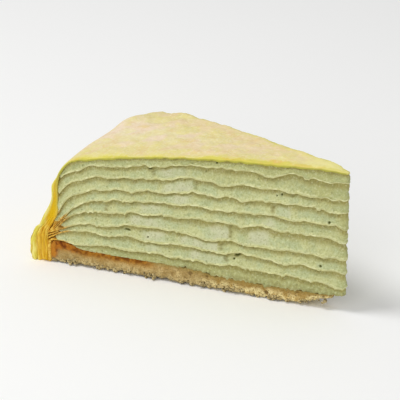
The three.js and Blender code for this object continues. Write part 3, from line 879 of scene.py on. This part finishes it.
def cover_shape(along, side, up):
    inner, outer = cover_profile(along, side)
    radius = mix(inner[0], outer[0], up)
    height = mix(inner[1], outer[1], up)
    hanging = smooth(TOP_SHARE + 0.6 * SHOULDER_SHARE, TOP_SHARE + 1.4 * SHOULDER_SHARE, along)
    pleat = 0.0
    cut = from_cut(radius, side)
    if up > 0.5:
        droop = EDGE_DROOP * math.exp(-cut / EDGE_DROOP_WIDTH)
        height += (1 - hanging) * (cover_bumps(radius, side) - droop) * smooth(0.5, 1, up)
    if hanging > 0:
        pleat = pleats(side, height)
        ridge = sum(reach * smooth(-high, -low, -height) for reach, high, low in RIDGES)
        ridge += 0.55 * hump(height, 19, 4.5)
        ridge *= math.exp(-cut / RIDGE_WIDTH) * mix(1, 0.6, smooth(3, 0, height))
        soft = 0.3 * noise.noise(Vector((side * 9, height / 5, 4)))
        radius += hanging * up * (0.5 * PLEAT_DEPTH * pleat + ridge + soft)
    point = placed(radius, side, height)
    # The drape's folds are counted from its inner face out. Its yellow core shows above them.
    turns = FOLDS * (1.5 * up - 0.5 * up * up) + waver(height / 8, 90)
    turns += 0.45 * waver(height / 3.5 + 4 * up, 91)
    gathered = hanging * smooth(21, 11, height)
    core = smooth(13.5, 17, height) * smooth(29.5, 25, height) * smooth(0.45, 0.15, abs(up - 0.45)) * hanging
    if abs(side) == 1 or along == 0:
        edge = 0.2 * waver(radius / 2.2, 84) + 0.16 * waver(radius / 0.9, 85)
        edge -= (1 - hanging) * 0.35 * smooth(0.4, 1, up) + 0.35 * smooth(9, TIP_RADIUS, radius)
        edge = max(edge, -CREPE_PROUD)
        fold = FOLD_DEPTH * abs(math.sin(math.pi * turns)) ** 0.8 - 0.6
        fold += 0.25 * waver(height / 4 + 5 * up, 92)
        point.z += 0.9 * smooth(2, 0, height) * hanging * smooth(0.55, 0.2, up)
        point.z += (1 - hanging) * (1 - up) * 0.5 * waver(radius / 2.4, 87)
        point += outward(side) * (CREPE_PROUD + edge + gathered * fold - 0.5 * core)
    return point, radius, turns, gathered, core, hanging * pleat, (1 - side) / 2


cover = Finish("cover crepe")
rise = cover.carried("rise")
radius = cover.carried("radius")
cut = cover.carried("cut")
turns = cover.carried("turns")
blotch = cover.noise(9, detail=2)
small_blotch = cover.noise(4, detail=2)
speck = cover.noise(0.9, detail=3)
wrinkle = cover.noise(2.6, detail=5, stretch=(0.8, 1, 1))
tan = cover.noise(6, detail=3)
streak = cover.noise(1.8, stretch=(1, 1, 0.3))
paleness = cover.between(cut + 14 * (blotch - 0.5), 3, 26)
near = cover.blend(cover.between(blotch, 0.42, 0.58), seen(227, 214, 148), seen(231, 210, 160))
far = cover.blend(cover.between(blotch, 0.42, 0.58), seen(233, 221, 176), seen(236, 216, 190))
colour = cover.blend(paleness, near, far)
colour = cover.blend(0.5 * cover.between(small_blotch, 0.5, 0.66), colour, seen(228, 216, 138))
colour = cover.blend(0.4 * cover.between(tan, 0.53, 0.68), colour, seen(226, 192, 136))
colour = cover.blend(0.25 * cover.between(wrinkle, 0.52, 0.68), colour, seen(216, 186, 128))
colour = cover.blend(0.35 * cover.between(speck, 0.5, 0.66), colour, seen(244, 234, 206))
by_point = cover.between(radius + 16 * (blotch - 0.5), 34, 8)
colour = cover.blend(0.8 * by_point, colour, seen(238, 233, 152))
# A yellow band runs along the cuts, wide by the point and narrow further out.
narrow = cover.between(radius + 9 * small_blotch, 56, 68) * cover.between(radius, 94, 84)
wide = cover.between(radius + 9 * small_blotch, 58, 40)
edge = cut + 4.5 * (small_blotch - 0.5) + 2 * (speck - 0.5) + 0.6 * narrow - 0.7 * wide
edge = edge + 1.2 * (1 - cover.carried("shown"))
colour = cover.blend((0.75 - 0.45 * by_point) * cover.between(edge, 3.4, 0.8), colour, seen(227, 217, 124))
tanned = cover.between(radius, 23.5, 26.5) * cover.between(radius, 32, 29) * cover.between(edge, 3.0, 1.0)
colour = cover.blend(0.7 * tanned * cover.carried("shown"), colour, seen(224, 180, 92))
yolk = cover.blend(0.4 * cover.between(tan, 0.53, 0.62), seen(216, 206, 88), seen(228, 186, 84))
colour = cover.blend((0.9 - 0.45 * by_point) * cover.between(edge, 1.2, 0.0), colour, yolk)
cut_edge = cover.between(cut, 0.3, 0.0) * cover.between(rise, 1.0, 0.3)
colour = cover.blend(0.9 * cut_edge, colour, seen(172, 168, 66))
# The drape: its pleated skin, and its folds at the cuts.
skin = cover.blend(cover.between(blotch, 0.4, 0.6), seen(230, 217, 140), seen(231, 208, 128))
# Painted shade darkens the skin where the pleats fold in.
skin = cover.blend(0.8 * cover.between(cover.carried("pleat"), 0.2, -0.9), skin, seen(214, 174, 74))
skin = cover.blend(0.4 * cover.between(small_blotch, 0.52, 0.64), skin, seen(238, 226, 170))
skin = cover.blend(0.35 * cover.between(streak, 0.52, 0.64), skin, seen(208, 172, 92))
outer_fold = cover.blend(cover.between(streak, 0.4, 0.6), seen(224, 210, 84), seen(238, 226, 130))
inner_fold = cover.blend(cover.between(streak, 0.4, 0.6), seen(224, 178, 38), seen(236, 200, 80))
folds = cover.blend(cover.between(rise + 0.3 * (blotch - 0.5), 0.75, 0.45), outer_fold, inner_fold)
# Painted shade along the grooves between the drape's folds at the cut.
groove = cover.node("Math", {"operation": "PINGPONG"}, {0: turns, 1: 0.5})
groove_shade = cover.between(groove, 0.2, 0.0) * cover.carried("gathered")
folds = cover.blend(0.45 * groove_shade, folds, seen(204, 150, 40))
folds = cover.blend(cover.carried("core"), folds, seen(224, 182, 0))
drape = cover.blend(cover.between(cut, 4, 0.4), skin, folds)
hanging = cover.between(radius + 3 * (blotch - 0.5), 104.6, 108.4)
colour = cover.blend(hanging, colour, drape)
cover_finish = cover.finish(colour, speck + 0.8 * small_blotch + wrinkle + 0.8 * hanging * streak, 0.16, 0.7)

block = soft_block(270, 104, 34)
bend(block, cover_shape, "turns", "gathered", "core", "pleat", "shown")
to_piece(block, "cover_crepe_sheet", cover_finish, "cover_crepe", "cover_crepe")


# ---- Loose crumbs -----------------------------------------------------------
# The knife leaves crumbs of sponge hanging along the lower edge of both cut
# faces, and two more at the broken point.

CRUMB_COUNT = 170
CRUMB_SIZES = (0.7, 1.9)
# How high the crumbs hang under the broken point.
CRUMB_LIFT = 2.9
draw = random.Random(5)


def add_crumb(bm, radius, side, height, size, proud):
    """One crumb, a small uneven lump."""
    place = placed(radius, side, max(height, size * 0.4)) + outward(side) * proud
    place += Vector((apex_x, apex_y, 0))
    turn = Matrix.Rotation(draw.uniform(0, 6), 4, "Z") @ Matrix.Rotation(draw.uniform(0, 6), 4, "X")
    spread = Matrix.Diagonal((draw.uniform(0.9, 1.5), draw.uniform(0.7, 1), draw.uniform(0.5, 0.9), 1))
    made = bmesh.ops.create_icosphere(bm, subdivisions=3, radius=size / 2 * MM, matrix=turn @ spread)
    for vert in made["verts"]:
        dent = 1 + 0.9 * noise.noise(vert.co / MM * 2.2 / size + place)
        vert.co = vert.co * dent + place * MM
        vert.co.z = max(vert.co.z, 0)


bm = bmesh.new()
for n in range(CRUMB_COUNT):
    side = draw.choice((-1, -1, 1))
    radius = draw.uniform(10, 108)
    lift = CRUMB_LIFT * (1 - smooth(SPONGE_TIP, 20, radius))
    size = draw.uniform(*CRUMB_SIZES)
    add_crumb(bm, radius, side, lift + draw.uniform(0.7, 2.0), size, draw.uniform(-1.0, -0.1))
add_crumb(bm, 9.8, -1, 3.2, 1.3, 0.0)
add_crumb(bm, 10.4, -1, 2.3, 1.0, 0.1)
bmesh.ops.recalc_face_normals(bm, faces=bm.faces)
loose = Finish("loose crumb")
tone = loose.noise(0.7, detail=3)
colour = loose.blend(loose.between(tone, 0.38, 0.6), seen(122, 108, 72), seen(202, 182, 130))
crumb_finish = loose.finish(colour, tone, 0.3, 0.95)
to_piece(bm, "sponge_crumbs", crumb_finish, "sponge")


# ---- Floor, light and camera ------------------------------------------------
# The slice stands on a wide pale floor under soft studio light. The camera looks
# down a little at the shown face from half a metre away.

CAMERA_BEARING = 36.96
CAMERA_PITCH = 21.6
FOCAL_PIXELS = 1800
FRAME_PIXELS = 400
SENSOR = 36.0
# How far the middle of the cake lies to the camera's right and ahead of it, and the camera's height.
APEX_RIGHT, APEX_AHEAD, CAMERA_HEIGHT = 49.5, 526.9, 248.4

paint = Finish("pale floor")
shader = paint.node("BsdfPrincipled", {}, {"Base Color": seen(250, 250, 249), "Roughness": 0.9})
paint.node("OutputMaterial", {}, {"Surface": shader})
bm = bmesh.new()
bmesh.ops.create_grid(bm, x_segments=1, y_segments=1, size=4)
floor = to_object(bm, "floor", paint.material)

world = bpy.data.worlds.new("studio")
world.use_nodes = True
world.node_tree.nodes["Background"].inputs["Color"].default_value = (1, 1, 1, 1)
world.node_tree.nodes["Background"].inputs["Strength"].default_value = 0.52
bpy.context.scene.world = world
bpy.context.scene.view_settings.view_transform = "Standard"


def soft_light(name, where, size, energy):
    data = bpy.data.lights.new(name, "AREA")
    data.shape = "DISK"
    data.size = size
    data.energy = energy
    lamp = bpy.data.objects.new(name, data)
    lamp.location = where
    lamp.rotation_euler = Vector(where).to_track_quat("Z", "Y").to_euler()
    bpy.context.scene.collection.objects.link(lamp)


soft_light("key", (-0.45, -0.35, 1.0), 0.5, 5.6)
soft_light("fill", (0.4, -1.0, 0.6), 0.8, 3.2)

bearing = math.radians(CAMERA_BEARING)
right = Vector((math.cos(bearing), math.sin(bearing), 0))
ahead = Vector((-math.sin(bearing), math.cos(bearing), 0))
eye = Vector((apex_x, apex_y, 0)) - right * APEX_RIGHT - ahead * APEX_AHEAD
camera_data = bpy.data.cameras.new("camera")
camera_data.sensor_width = SENSOR
camera_data.lens = SENSOR * FOCAL_PIXELS / FRAME_PIXELS
camera_data.clip_start = 0.01
camera = bpy.data.objects.new("camera", camera_data)
camera.location = Vector((eye.x, eye.y, CAMERA_HEIGHT)) * MM
camera.rotation_euler = (math.radians(90 - CAMERA_PITCH), 0, bearing)
bpy.context.scene.collection.objects.link(camera)
bpy.context.scene.camera = camera
